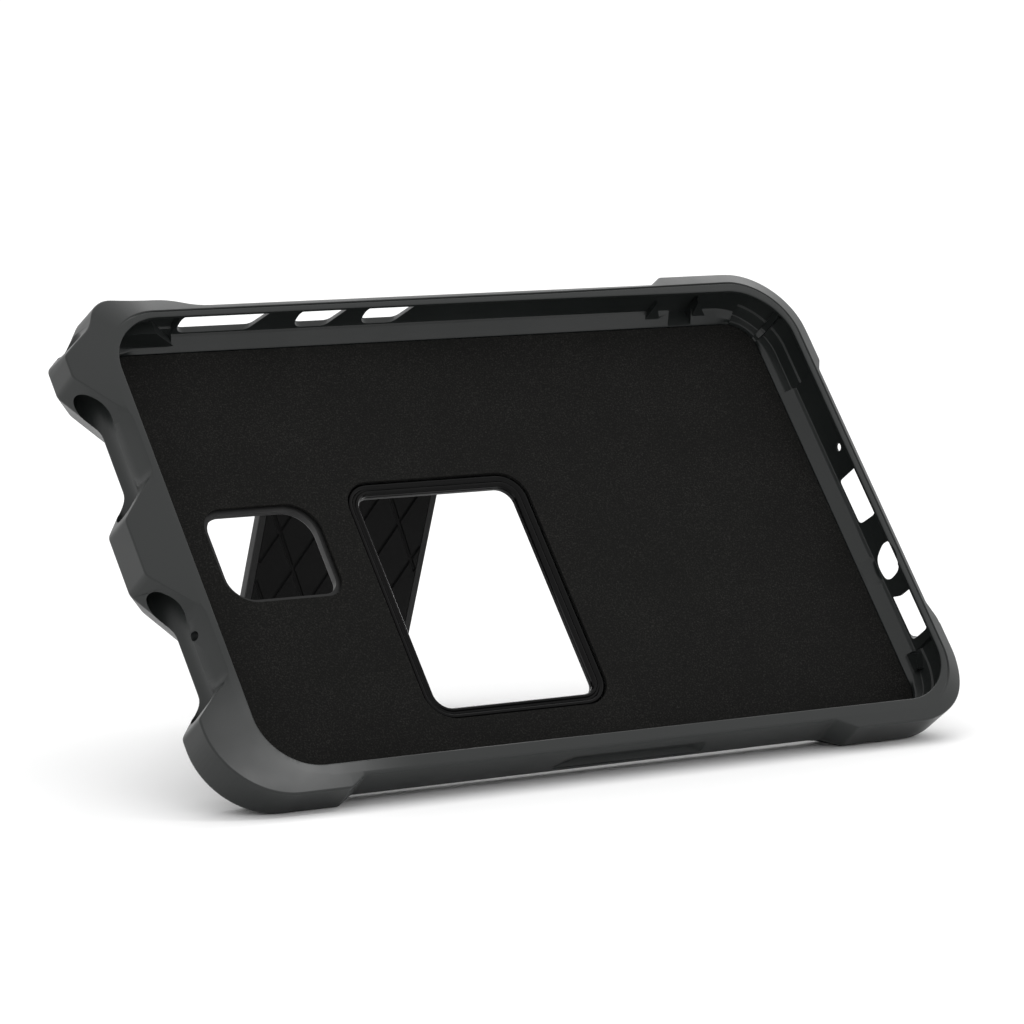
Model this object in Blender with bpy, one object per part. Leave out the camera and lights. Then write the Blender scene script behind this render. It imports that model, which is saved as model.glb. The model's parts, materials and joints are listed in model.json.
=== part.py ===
"""Rugged case for a handheld field data collector, standing open on its flip-out stand.

The case is drawn flat, in millimetres: X runs along its long side, Y across it, and Z points out
of the opening, with Z = 0 on the lining that the data collector lies on. An empty then leans the
whole case back. Below a wall's "reach" is how far it stands out past the edge of the opening.
"""
import math

import bmesh
import bpy
from mathutils import Matrix, Vector

MM = 0.001

# ---------------------------------------------------------------- driving dimensions (mm, degrees)
LEAN = 50.84                 # slope of the tray above the ground when it stands
STAND_OPEN = 59.35           # angle between the folded stand and the open stand
FIT_GAP = 0.3                # clearance between pieces that touch

OPENING_X = 98.6             # half the opening's length
OPENING_Y = 62.3             # half its width
OPENING_RADIUS = 14.0
LIP_TOP = 12.0
LIP_UNDERSIDE = 11.0
CREASE = 2.6                 # the flat of the rim, before it slopes off on the bulges
LEDGE_REACH = -2.2           # the ledge that laps over the rear shell
BAND_REACH, BAND_TOP = 0.5, 2.7
WALL_REACH, POCKET_REACH = 0.9, 3.1
WALL_DRAFT = 0.4
SIDE_FOOT = 3.0              # height at which the outer side breaks into the back chamfer
BACK_THIN, BACK_THICK = -4.4, -5.1
CHAMFER_INSET = 6.6
SHELL_SEAT_REACH = -1.2

BULGE_Y = 69.0               # outer faces: corner bulges, thin walls, lobes of the pen holder
BULGE_X = 104.6
THIN_Y = 65.9
THIN_X = 102.4
LOBE_X = -112.4
GROOVE_X = -104.9
BULGE_RADIUS = 18.0
PEN_CORNER_RADIUS = 20.0

PEN_X, PEN_Z = -106.9, 6.3   # axis of the pen bore, along Y
PEN_RADIUS = 3.9
PEN_BORE_END = -55.0

BUTTON_SLOTS = ((-75.8, -50.5), (-42.8, -28.9), (-23.6, -9.3))      # start and end along X
SLOT_HEIGHTS = (3.5, 10.0)
SLOT_RADIUS = 1.6
PORTS = ((0.1, 13.9, 6.8, 1.2), (-35.2, 13.3, 6.8, 1.2), (-20.1, 8.2, 6.8, 3.3))
# each port: middle along Y, length, height, corner radius
PORT_Z = 6.8
VENT_PLACE, VENT_RADIUS = (14.9, 7.9), 1.0   # (Y, Z) in the port wall
TETHER_EYE, TETHER_EYE_RADIUS = (-23.6, 7.4), 1.1
SCOOP_X, SCOOP_HEIGHTS = (-21.5, 22.5), (3.6, 8.8)
SCOOP_DEPTH, SCOOP_SLOPE = 1.0, 2.2

SHELL_FRONT, SHELL_BACK = -1.0, -3.6
LINING_BACK = SHELL_FRONT + FIT_GAP

WINDOW_CENTRE = (-18.2, -14.2)
WINDOW_SIZE = (45.3, 60.5)
BEZEL_WIDTH = 3.45
BEZEL_SEAT = -2.0
BEZEL_CREST, BEZEL_VALLEY = -0.5, -1.0
CAMERA_CENTRE = (-69.5, 1.75)
CAMERA_SIZE = (29.15, 24.1)
CAMERA_RADII = (6.5, 4.0, 7.0, 5.0)          # from the lower left corner, counter-clockwise

HINGE_Y, HINGE_Z = 56.5, -7.35
STAND_WIDTH = 52.0
STAND_CENTRE_X = WINDOW_CENTRE[0]
BARREL_RADIUS = 3.4
LEG_INNER, LEG_OUTER = 3.1, 0.5              # faces of the leg, above the hinge axis when folded
PAD_DEPTH = 0.9
PAD_BORDER = 2.0
PAD_START, PAD_END = -6.0, -78.0
TONGUE_START, TONGUE_END = -82.3, -87.7
TONGUE_LOW, TONGUE_HIGH = 1.2, 2.4
FOOT_START = TONGUE_START - FIT_GAP          # where the foot butts against the leg
FOOT_INNER, FOOT_OUTER = 3.3, 0.2
PIN_RADIUS = 1.2
PIN_HOLE_RADIUS = PIN_RADIUS + FIT_GAP
WASHER_THICKNESS = 0.5
WASHER_RADIUS = 3.1
BRACKET_WIDTH = 6.5
BRACKET_RADIUS = 3.2
FLANGE_START, FLANGE_THICKNESS = -17.5, 2.0
CLIP_THICKNESS, CLIP_RADIUS = 0.8, 2.7
SCREW_OFFSETS = (-7.3, -13.8)                # screws, along Y from the hinge axis
SCREW_RADIUS, SCREW_HEAD_RADIUS, SCREW_HEAD_HEIGHT = 0.75, 1.9, 1.3
SCREW_HOLE_RADIUS = 1.15
SCREW_TIP = -1.8
INSERT_RADIUS, INSERT_BORE = 1.7, 1.05
INSERT_TOP, INSERT_BOTTOM = -1.3, -3.3

CORNER_STEPS = 10            # facets in each rounded corner
ROUND_STEPS = 28             # facets round a bore, pin or barrel


# ---------------------------------------------------------------- outlines
def arc(centre, radius, start, end, steps):
    """Points along an arc, angles in degrees."""
    angles = [math.radians(start + (end - start) * i / steps) for i in range(steps + 1)]
    return [(centre[0] + radius * math.cos(a), centre[1] + radius * math.sin(a)) for a in angles]


def circle(centre, radius, steps=ROUND_STEPS):
    return arc(centre, radius, 0.0, 360.0, steps)[:-1]


def rounded_rectangle(centre, size, radii, steps=6):
    """Counter-clockwise outline with one radius for each corner, from the lower left one."""
    if isinstance(radii, float):
        radii = (radii,) * 4
    half_x, half_y = size[0] / 2, size[1] / 2
    points = []
    for index, (side_x, side_y) in enumerate(((-1, -1), (1, -1), (1, 1), (-1, 1))):
        r = radii[index]
        corner = (centre[0] + side_x * (half_x - r), centre[1] + side_y * (half_y - r))
        points += arc(corner, r, 180 + 90 * index, 270 + 90 * index, steps)
    return points


def outer_outline(groove_x, groove_ends, inset):
    """The case seen from the front: bulges at the corners, two lobes on the pen side.

    groove_x is how far out the wall stands between the lobes, groove_ends are the four places
    along Y where a lobe's slope runs out into it, and inset pulls the bulges and lobes in.
    """
    bulge_x, bulge_y, lobe_x = BULGE_X - inset, BULGE_Y - inset, LOBE_X + inset
    thin_x, thin_y = THIN_X - inset / 2, THIN_Y - inset / 2
    first_end, second_start, second_end, corner_start = groove_ends
    right_centre = BULGE_X - BULGE_RADIUS
    pen_centre = LOBE_X + PEN_CORNER_RADIUS
    right, pen = BULGE_RADIUS - inset, PEN_CORNER_RADIUS - inset
    points = [(-80.0, -bulge_y), (-75.5, -thin_y), (59.5, -thin_y), (65.0, -bulge_y)]
    points += arc((right_centre, BULGE_RADIUS - BULGE_Y), right, -90, 0, CORNER_STEPS)
    points += [(bulge_x, -40.0), (thin_x, -35.0), (thin_x, 37.0), (bulge_x, 40.5)]
    points += arc((right_centre, BULGE_Y - BULGE_RADIUS), right, 0, 90, CORNER_STEPS)
    points += [(66.5, bulge_y), (62.0, thin_y), (-74.0, thin_y), (-78.5, bulge_y)]
    points += [(-96.5, bulge_y), (-99.3 + inset / 2, 67.6 - inset), (-105.0 + inset, 58.5)]
    points += [(-109.0 + inset, 56.5), (lobe_x, 54.0), (lobe_x, 46.5), (groove_x, first_end)]
    points += [(groove_x, second_start), (lobe_x, 7.2), (lobe_x, -8.6), (groove_x, second_end)]
    points += [(groove_x, corner_start)]
    points += arc((pen_centre, PEN_CORNER_RADIUS - BULGE_Y), pen, 180, 270, CORNER_STEPS)
    return points


SIDE_OUTLINE = outer_outline(GROOVE_X, (35.5, 16.5, -20.3, -40.5), 0.0)
RIM_OUTLINE = outer_outline(-100.8, (35.0, 19.4, -20.6, -36.5), 0.8)


def reach_to(outline, base, normal):
    """Distance from base along normal to the far side of the outline."""
    best = 0.0
    for (ax, ay), (bx, by) in zip(outline, outline[1:] + outline[:1]):
        ex, ey = bx - ax, by - ay
        across = normal[0] * ey - normal[1] * ex
        if abs(across) < 1e-9:
            continue
        along = ((ax - base[0]) * ey - (ay - base[1]) * ex) / across
        share = ((ax - base[0]) * normal[1] - (ay - base[1]) * normal[0]) / across
        if -1e-6 <= share <= 1 + 1e-6:
            best = max(best, along)
    return best


# ---------------------------------------------------------------- stations round the opening
def opening_place(turn):
    """Point and outward normal on the opening's edge; turn counts the sides, 0 to 8.

    Even numbers start the four straights (bottom, right, top, left), odd ones the corners.
    """
    straight_x, straight_y = OPENING_X - OPENING_RADIUS, OPENING_Y - OPENING_RADIUS
    part, share = int(turn) % 8, turn - int(turn)
    side = part // 2
    normals = ((0, -1), (1, 0), (0, 1), (-1, 0))
    corners = ((1, -1), (1, 1), (-1, 1), (-1, -1))
    if part % 2 == 0:
        nx, ny = normals[side]
        start, end = corners[side - 1], corners[side]
        sx = start[0] + (end[0] - start[0]) * share
        sy = start[1] + (end[1] - start[1]) * share
        point = (straight_x * sx + OPENING_RADIUS * nx, straight_y * sy + OPENING_RADIUS * ny)
        return point, (float(nx), float(ny))
    angle = math.radians(-90 + 90 * side + 90 * share)
    nx, ny = math.cos(angle), math.sin(angle)
    cx, cy = corners[side]
    return (straight_x * cx + OPENING_RADIUS * nx, straight_y * cy + OPENING_RADIUS * ny), (nx, ny)


def turn_of(x, y):
    """The turn whose normal line passes through a point outside the opening."""
    straight_x, straight_y = OPENING_X - OPENING_RADIUS, OPENING_Y - OPENING_RADIUS
    if abs(x) <= straight_x:
        share = (x + straight_x) / (2 * straight_x)
        return share if y < 0 else 4 + 1 - share
    if abs(y) <= straight_y:
        share = (y + straight_y) / (2 * straight_y)
        return 2 + share if x > 0 else 6 + 1 - share
    cx, cy = math.copysign(straight_x, x), math.copysign(straight_y, y)
    quarter = (math.degrees(math.atan2(y - cy, x - cx)) + 90) % 360 / 90
    return 2 * int(quarter) + 1 + quarter - int(quarter)


POCKETS = ((0.985, 1.45), (1.55, 2.04), (2.885, 3.28), (3.35, 3.72), (4.955, 5.45), (5.55, 6.05),
           (6.96, 7.45), (7.55, 8.0))      # relief pockets in the corner walls, as turns
POCKET_EDGE = 0.004


def stations():
    """Every turn at which the section of the frame is drawn."""
    turns = [side + step / CORNER_STEPS for side in (1, 3, 5, 7) for step in range(CORNER_STEPS + 1)]
    turns += [side + step / 6 for side in (0, 2, 4, 6) for step in range(6)]
    turns += [turn_of(x, y) for x, y in SIDE_OUTLINE + RIM_OUTLINE]
    for start, end in POCKETS:
        turns += [start - POCKET_EDGE, start + POCKET_EDGE, end - POCKET_EDGE, end + POCKET_EDGE]
    kept = []
    for turn in sorted(t % 8 for t in turns):
        if not kept or turn - kept[-1] > 0.0025:
            kept.append(turn)
    return kept


def chamfer_end(side, base, normal):
    """Reach at which the back chamfer ends, never lower than the flat that the case stands on."""
    reach = max(side - CHAMFER_INSET, -0.2)
    if normal[1] < -0.3:
        reach = min(reach, (CHAMFER_INSET - BULGE_Y - base[1]) / normal[1])
    return reach


def frame_section(turn):
    """(reach, height) of the frame's closed section at one station."""
    base, normal = opening_place(turn)
    side = reach_to(SIDE_OUTLINE, base, normal)
    rim = min(reach_to(RIM_OUTLINE, base, normal), side - 0.4)
    thick = min(max((side - 3.7) / 2.5, 0.0), 1.0)
    back = BACK_THIN + (BACK_THICK - BACK_THIN) * thick
    crease = min(CREASE, rim - 0.5)
    rim_top = LIP_TOP - 0.12 * max(rim - CREASE - 0.4, 0.0) if rim < 9.0 else LIP_TOP - 0.3
    side_top = rim_top - max(0.7, 1.1 * (side - rim))
    pocket = any(start < turn % 8 < end for start, end in POCKETS)
    wall = POCKET_REACH if pocket else WALL_REACH
    return [
        (0.0, LIP_UNDERSIDE), (0.0, LIP_TOP - 0.5), (0.5, LIP_TOP), (crease, LIP_TOP),
        (rim, rim_top), (side, side_top), (side, SIDE_FOOT),
        (chamfer_end(side, base, normal), back), (SHELL_SEAT_REACH, back),
        (SHELL_SEAT_REACH, LINING_BACK), (LEDGE_REACH, LINING_BACK), (LEDGE_REACH, 0.0),
        (BAND_REACH, BAND_TOP), (wall, BAND_TOP + 0.3), (wall + WALL_DRAFT, LIP_UNDERSIDE)]


# ---------------------------------------------------------------- mesh helpers
def material(name, colour, roughness, metallic=0.0):
    """A Principled material; colour is linear RGB."""
    made = bpy.data.materials.new(name)
    made.use_nodes = True
    shader = made.node_tree.nodes["Principled BSDF"]
    shader.inputs["Base Color"].default_value = (*colour, 1.0)
    shader.inputs["Roughness"].default_value = roughness
    shader.inputs["Metallic"].default_value = metallic
    made.diffuse_color = (*colour, 1.0)
    return made


def finish_mesh(bm, name, parent, look=None, smooth=False):
    """Turn a bmesh drawn in millimetres into an object in metres."""
    bmesh.ops.scale(bm, vec=(MM, MM, MM), verts=bm.verts)
    bmesh.ops.recalc_face_normals(bm, faces=bm.faces)
    mesh = bpy.data.meshes.new(name)
    bm.to_mesh(mesh)
    bm.free()
    made = bpy.data.objects.new(name, mesh)
    bpy.context.scene.collection.objects.link(made)
    made.parent = parent
    if look:
        mesh.materials.append(look)
    if smooth:
        mesh.shade_smooth()
        mesh.set_sharp_from_angle(angle=math.radians(35))
    return made


def add_plate(bm, outline, low, high, holes=()):
    """A flat plate between two heights, with any number of holes through it."""
    edges = []
    for loop in (outline, *holes):
        verts = [bm.verts.new((x, y, low)) for x, y in loop]
        edges += [bm.edges.new((a, b)) for a, b in zip(verts, verts[1:] + verts[:1])]
    filled = bmesh.ops.triangle_fill(bm, edges=edges, use_beauty=True)
    faces = [item for item in filled["geom"] if isinstance(item, bmesh.types.BMFace)]
    raised = bmesh.ops.extrude_face_region(bm, geom=faces)
    tops = [item for item in raised["geom"] if isinstance(item, bmesh.types.BMVert)]
    bmesh.ops.translate(bm, vec=(0.0, 0.0, high - low), verts=tops)


def plate(name, parent, look, outline, low, high, holes=()):
    bm = bmesh.new()
    add_plate(bm, outline, low, high, holes)
    return finish_mesh(bm, name, parent, look)


def add_prism(bm, outline, start, end, axis, holes=()):
    """A (Y, Z) outline drawn out along X, or an (X, Z) outline drawn out along Y."""
    before = set(bm.verts)
    add_plate(bm, outline, start, end, holes)
    along_x = Matrix(((0, 0, 1, 0), (1, 0, 0, 0), (0, 1, 0, 0), (0, 0, 0, 1)))
    along_y = Matrix(((1, 0, 0, 0), (0, 0, 1, 0), (0, 1, 0, 0), (0, 0, 0, 1)))
    turn = along_x if axis == 'X' else along_y
    bmesh.ops.transform(bm, matrix=turn, verts=[v for v in bm.verts if v not in before])


def bar(name, parent, look, profile, start, end, holes=(), smooth=True):
    """A solid with a (Y, Z) profile, drawn out along X."""
    bm = bmesh.new()
    add_prism(bm, profile, start, end, 'X', holes)
    return finish_mesh(bm, name, parent, look, smooth)


def add_loft(bm, sections):
    """Skin a closed ring of closed sections."""
    rings = [[bm.verts.new(point) for point in section] for section in sections]
    for here, there in zip(rings, rings[1:] + rings[:1]):
        for k in range(len(here)):
            after = (k + 1) % len(here)
            bm.faces.new((here[k], there[k], there[after], here[after]))


def cut(target, cutter):
    """Take the cutter out of the target."""
    cutter.hide_render = True
    cutter.display_type = 'WIRE'
    step = target.modifiers.new(cutter.name, 'BOOLEAN')
    step.operation = 'DIFFERENCE'
    step.solver = 'EXACT'
    step.object = cutter


def empty(name, parent=None, location=(0, 0, 0), tilt=0.0):
    made = bpy.data.objects.new(name, None)
    made.empty_display_size = 0.02
    made.parent = parent
    made.location = Vector(location) * MM
    made.rotation_euler.x = math.radians(tilt)
    bpy.context.scene.collection.objects.link(made)
    return made


# ---------------------------------------------------------------- the soft frame
def frame_cutters(parent):
    """Button slots, port openings, tether eye and the scoop over the contacts."""
    bm = bmesh.new()
    for start, end in BUTTON_SLOTS:
        centre = ((start + end) / 2, sum(SLOT_HEIGHTS) / 2)
        size = (end - start, SLOT_HEIGHTS[1] - SLOT_HEIGHTS[0])
        add_prism(bm, rounded_rectangle(centre, size, SLOT_RADIUS, 4), OPENING_Y - 2.5, BULGE_Y + 2, 'Y')
    through_wall = (OPENING_X - 2, BULGE_X + 2)
    for y, length, height, radius in PORTS:
        outline = rounded_rectangle((y, PORT_Z), (length, height), radius, 4)
        add_prism(bm, outline, *through_wall, 'X')
    add_prism(bm, circle(VENT_PLACE, VENT_RADIUS, 12), *through_wall, 'X')
    eye = circle(TETHER_EYE, TETHER_EYE_RADIUS, 12)
    add_prism(bm, eye, -OPENING_X - 9, -OPENING_X + 2, 'X')
    outside, floor = -THIN_Y - 1.0, -THIN_Y + SCOOP_DEPTH
    start, end = SCOOP_X
    scoop = [(start, outside), (start + SCOOP_SLOPE, floor), (end - SCOOP_SLOPE, floor), (end, outside)]
    add_plate(bm, scoop, *SCOOP_HEIGHTS)
    return finish_mesh(bm, "frame_openings", parent)


def bumper_frame(parent, look):
    bm = bmesh.new()
    sections = []
    for turn in stations():
        (x, y), (nx, ny) = opening_place(turn)
        sections.append([(x + nx * reach, y + ny * reach, z) for reach, z in frame_section(turn)])
    add_loft(bm, sections)
    frame = finish_mesh(bm, "bumper_frame", parent, look, smooth=True)
    cut(frame, frame_cutters(parent))
    bore = bmesh.new()
    add_prism(bore, circle((PEN_X, PEN_Z), PEN_RADIUS), PEN_BORE_END, BULGE_Y + 4, 'Y')
    cut(frame, finish_mesh(bore, "pen_bore", parent))
    return frame


# ---------------------------------------------------------------- shell, lining and bezel
def window_outline(grow=0.0, radius=4.0):
    size = (WINDOW_SIZE[0] + 2 * grow, WINDOW_SIZE[1] + 2 * grow)
    return rounded_rectangle(WINDOW_CENTRE, size, radius + grow)


def camera_outline(grow=0.0):
    size = (CAMERA_SIZE[0] + 2 * grow, CAMERA_SIZE[1] + 2 * grow)
    return rounded_rectangle(CAMERA_CENTRE, size, tuple(r + grow for r in CAMERA_RADII))


def tray_outline(reach):
    """An outline parallel to the opening's edge."""
    size = (2 * (OPENING_X + reach), 2 * (OPENING_Y + reach))
    return rounded_rectangle((0.0, 0.0), size, OPENING_RADIUS + reach, CORNER_STEPS)


def screw_places():
    """(X, Y) of the four bracket screws."""
    return [(bracket_middle(side), HINGE_Y + offset) for side in (-1, 1) for offset in SCREW_OFFSETS]


def rear_shell(parent, look):
    holes = [window_outline(), camera_outline()]
    holes += [circle(place, INSERT_RADIUS + FIT_GAP, 16) for place in screw_places()]
    outline = tray_outline(SHELL_SEAT_REACH - FIT_GAP)
    shell = plate("rear_shell", parent, look, outline, SHELL_BACK, SHELL_FRONT, holes)
    seat = bmesh.new()
    add_plate(seat, window_outline(BEZEL_WIDTH), BEZEL_SEAT, 1.0)
    cut(shell, finish_mesh(seat, "bezel_seat", parent))
    return shell


def floor_lining(parent, look):
    outline = tray_outline(LEDGE_REACH - FIT_GAP)
    holes = [window_outline(BEZEL_WIDTH), camera_outline()]
    return plate("floor_lining", parent, look, outline, LINING_BACK, 0.0, holes)


def window_bezel(parent, look):
    """A ring with two raised beads, swept round the window."""
    half = BEZEL_WIDTH - FIT_GAP
    low = BEZEL_SEAT + FIT_GAP
    steps = [0.0, 0.12, 0.22, 0.34, 0.46, 0.54, 0.66, 0.78, 0.88, 1.0]
    rises = [0.0, 0.8, 1.0, 0.8, 0.0, 0.0, 0.8, 1.0, 0.8, 0.0]
    height = BEZEL_CREST - BEZEL_VALLEY
    top = [(half * s, BEZEL_VALLEY + height * r) for s, r in zip(steps, rises)]
    section = top + [(half, low), (0.0, low)]
    loops = [(window_outline(grow), z) for grow, z in section]
    bm = bmesh.new()
    add_loft(bm, [[(x, y, z) for x, y in loop] for loop, z in loops])
    return finish_mesh(bm, "window_bezel", parent, look, smooth=True)


# ---------------------------------------------------------------- stand and hinge
def bracket_start():
    """Distance from the stand's middle to the inner face of a bracket."""
    return STAND_WIDTH / 2 + WASHER_THICKNESS + 2 * FIT_GAP


def bracket_middle(side):
    return STAND_CENTRE_X + side * (bracket_start() + BRACKET_WIDTH / 2)


def span(side, start, end):
    """X range of a piece that lies start to end out from the stand's middle, on one side."""
    return tuple(sorted((STAND_CENTRE_X + side * start, STAND_CENTRE_X + side * end)))


def ground_in_leg():
    """The ground as a line a * y + b * z = c in the stand's own (Y, Z), hinge axis at 0."""
    lean, turn = math.radians(LEAN), math.radians(LEAN + STAND_OPEN)
    lowest = -BULGE_Y * math.sin(lean) + SIDE_FOOT * math.cos(lean)
    hinge = HINGE_Y * math.sin(lean) + HINGE_Z * math.cos(lean)
    return math.sin(turn), math.cos(turn), lowest - hinge


def sole_y(z):
    a, b, c = ground_in_leg()
    return (c - b * z) / a


def stand_leg(parent, look):
    start = -180 - math.degrees(math.asin(LEG_OUTER / BARREL_RADIUS))
    end = 180 - math.degrees(math.asin(LEG_INNER / BARREL_RADIUS))
    barrel = arc((0, 0), BARREL_RADIUS, start, end, ROUND_STEPS)
    tongue = [(TONGUE_START, LEG_INNER), (TONGUE_START, TONGUE_HIGH), (TONGUE_END, TONGUE_HIGH),
              (TONGUE_END, TONGUE_LOW), (TONGUE_START, TONGUE_LOW), (TONGUE_START, LEG_OUTER)]
    profile = barrel + tongue
    half = STAND_WIDTH / 2
    leg = bar("stand_leg", parent, look, profile, -half, half, [circle((0, 0), PIN_HOLE_RADIUS, 20)])
    recess = bmesh.new()
    add_box(recess, (-half + PAD_BORDER, PAD_END, LEG_INNER - PAD_DEPTH),
            (half - PAD_BORDER, PAD_START, LEG_INNER + 1.0))
    cut(leg, finish_mesh(recess, "pad_recess", parent))
    return leg


def add_box(bm, low, high):
    add_plate(bm, [(low[0], low[1]), (high[0], low[1]), (high[0], high[1]), (low[0], high[1])],
              low[2], high[2])


def stand_grip_pad(parent, look):
    half = STAND_WIDTH / 2 - PAD_BORDER - FIT_GAP
    size = (2 * half, PAD_START - PAD_END - 2 * FIT_GAP)
    outline = rounded_rectangle((0.0, (PAD_START + PAD_END) / 2), size, 1.0, 3)
    return plate("stand_grip_pad", parent, look, outline, LEG_INNER - PAD_DEPTH + FIT_GAP, LEG_INNER)


def stand_foot(parent, look):
    """Rubber sole that clips over the leg's tongue, cut to lie flat on the ground."""
    low, high, deep = TONGUE_LOW - FIT_GAP, TONGUE_HIGH + FIT_GAP, TONGUE_END - FIT_GAP
    profile = [(FOOT_START, FOOT_INNER), (sole_y(FOOT_INNER), FOOT_INNER),
               (sole_y(FOOT_OUTER), FOOT_OUTER), (FOOT_START, FOOT_OUTER),
               (FOOT_START, low), (deep, low), (deep, high), (FOOT_START, high)]
    half = STAND_WIDTH / 2
    return bar("stand_foot", parent, look, profile, -half, half, smooth=False)


def hinge_bracket(name, side, parent, look):
    top = SHELL_BACK - FIT_GAP
    boss = arc((HINGE_Y, HINGE_Z), BRACKET_RADIUS, 0, -180, ROUND_STEPS // 2)
    profile = [(HINGE_Y + BRACKET_RADIUS, top)] + boss
    profile += [(HINGE_Y - BRACKET_RADIUS, top - FLANGE_THICKNESS),
                (HINGE_Y + FLANGE_START, top - FLANGE_THICKNESS), (HINGE_Y + FLANGE_START, top)]
    start, end = span(side, bracket_start(), bracket_start() + BRACKET_WIDTH)
    hole = [circle((HINGE_Y, HINGE_Z), PIN_HOLE_RADIUS, 20)]
    made = bar(name, parent, look, profile, start, end, hole)
    drill = bmesh.new()
    for offset in SCREW_OFFSETS:
        place = (bracket_middle(side), HINGE_Y + offset)
        add_plate(drill, circle(place, SCREW_HOLE_RADIUS, 16), HINGE_Z, SHELL_BACK + 1.0)
    cut(made, finish_mesh(drill, name + "_holes", parent))
    return made


def ring_along_x(name, parent, look, span_x, outer, inner):
    """A washer or clip round the hinge axis."""
    axis = (HINGE_Y, HINGE_Z)
    return bar(name, parent, look, circle(axis, outer, 24), *span_x, [circle(axis, inner, 20)])


def hinge_pin(parent, look):
    reach = bracket_start() + BRACKET_WIDTH + FIT_GAP + CLIP_THICKNESS + 0.4
    profile = circle((HINGE_Y, HINGE_Z), PIN_RADIUS, 20)
    return bar("hinge_pin", parent, look, profile, STAND_CENTRE_X - reach, STAND_CENTRE_X + reach)


def turned(name, parent, look, place, profile, steps):
    """A solid of revolution about a line along Z; profile is (radius, height), bottom up."""
    bm = bmesh.new()
    rings = []
    for radius, z in profile:
        rings.append([bm.verts.new((x, y, z)) for x, y in circle(place, radius, steps)])
    for low, high in zip(rings, rings[1:]):
        for k in range(steps):
            after = (k + 1) % steps
            bm.faces.new((low[k], low[after], high[after], high[k]))
    bm.faces.new(rings[0])
    bm.faces.new(rings[-1])
    return finish_mesh(bm, name, parent, look, smooth=True)


def bracket_screw(name, place, parent, look):
    seat = SHELL_BACK - 2 * FIT_GAP - FLANGE_THICKNESS
    head = seat - SCREW_HEAD_HEIGHT
    profile = [(SCREW_HEAD_RADIUS * 0.8, head), (SCREW_HEAD_RADIUS, head + 0.4),
               (SCREW_HEAD_RADIUS, seat), (SCREW_RADIUS, seat), (SCREW_RADIUS, SCREW_TIP - 0.3),
               (SCREW_RADIUS * 0.6, SCREW_TIP)]
    return turned(name, parent, look, place, profile, 16)


def threaded_insert(name, place, parent, look):
    outline = circle(place, INSERT_RADIUS, 16)
    bore = [circle(place, INSERT_BORE, 12)]
    return plate(name, parent, look, outline, INSERT_BOTTOM, INSERT_TOP, bore)


# ---------------------------------------------------------------- assembly
def clear_scene():
    for old in list(bpy.data.objects):
        bpy.data.objects.remove(old, do_unlink=True)


def settle_on_ground(case):
    """Move the whole case so that the origin is at the bottom centre of its bounding box."""
    bpy.context.view_layer.update()
    solids = [made for made in bpy.data.objects if made.type == 'MESH' and not made.hide_render]
    points = [made.matrix_world @ vert.co for made in solids for vert in made.data.vertices]
    low = [min(point[axis] for point in points) for axis in range(3)]
    high = [max(point[axis] for point in points) for axis in range(3)]
    case.location = ((low[0] + high[0]) / -2, (low[1] + high[1]) / -2, -low[2])


def build():
    clear_scene()
    rubber = material("soft_dark_grey", (0.045, 0.050, 0.049), 0.55)
    hard = material("hard_black_plastic", (0.018, 0.018, 0.018), 0.45)
    felt = material("speckled_lining", (0.010, 0.010, 0.009), 0.9)
    gloss = material("gloss_black", (0.006, 0.006, 0.006), 0.2)
    grip = material("stand_grip", (0.012, 0.012, 0.012), 0.5)
    sole = material("foot_rubber", (0.015, 0.015, 0.015), 0.8)
    steel = material("steel", (0.55, 0.55, 0.56), 0.3, 1.0)
    zinc = material("blackened_steel", (0.06, 0.06, 0.065), 0.4, 1.0)
    brass = material("brass", (0.60, 0.42, 0.16), 0.3, 1.0)

    case = empty("case_tilt", tilt=LEAN)
    stand = empty("stand_axis", case, (STAND_CENTRE_X, HINGE_Y, HINGE_Z), STAND_OPEN)

    bumper_frame(case, rubber)
    rear_shell(case, hard)
    floor_lining(case, felt)
    window_bezel(case, gloss)
    stand_leg(stand, hard)
    stand_grip_pad(stand, grip)
    stand_foot(stand, sole)
    hinge_pin(case, steel)
    washer = (STAND_WIDTH / 2 + FIT_GAP, STAND_WIDTH / 2 + FIT_GAP + WASHER_THICKNESS)
    clip = bracket_start() + BRACKET_WIDTH + FIT_GAP
    for label, side in (("left", -1), ("right", 1)):
        hinge_bracket("hinge_bracket_" + label, side, case, hard)
        ring_along_x("friction_washer_" + label, case, steel, span(side, *washer), WASHER_RADIUS,
                     PIN_HOLE_RADIUS)
        ring_along_x("pin_clip_" + label, case, zinc, span(side, clip, clip + CLIP_THICKNESS),
                     CLIP_RADIUS, PIN_HOLE_RADIUS)
    for number, place in enumerate(screw_places(), start=1):
        bracket_screw("bracket_screw_%d" % number, place, case, zinc)
        threaded_insert("threaded_insert_%d" % number, place, case, brass)
    settle_on_ground(case)


build()
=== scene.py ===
"""Looks for the rugged data collector case: fine meshes, materials, light and camera.

Pieces of the case are drawn flat in millimetres, with X along the long side, Y across it and Z out
of the opening, and Z = 0 on the lining. Pieces of the stand are drawn folded, from the hinge axis.
Two matrices, CASE and STAND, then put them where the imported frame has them.
"""

import json
import math

import bmesh
import bpy
from mathutils import Matrix, Vector


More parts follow.
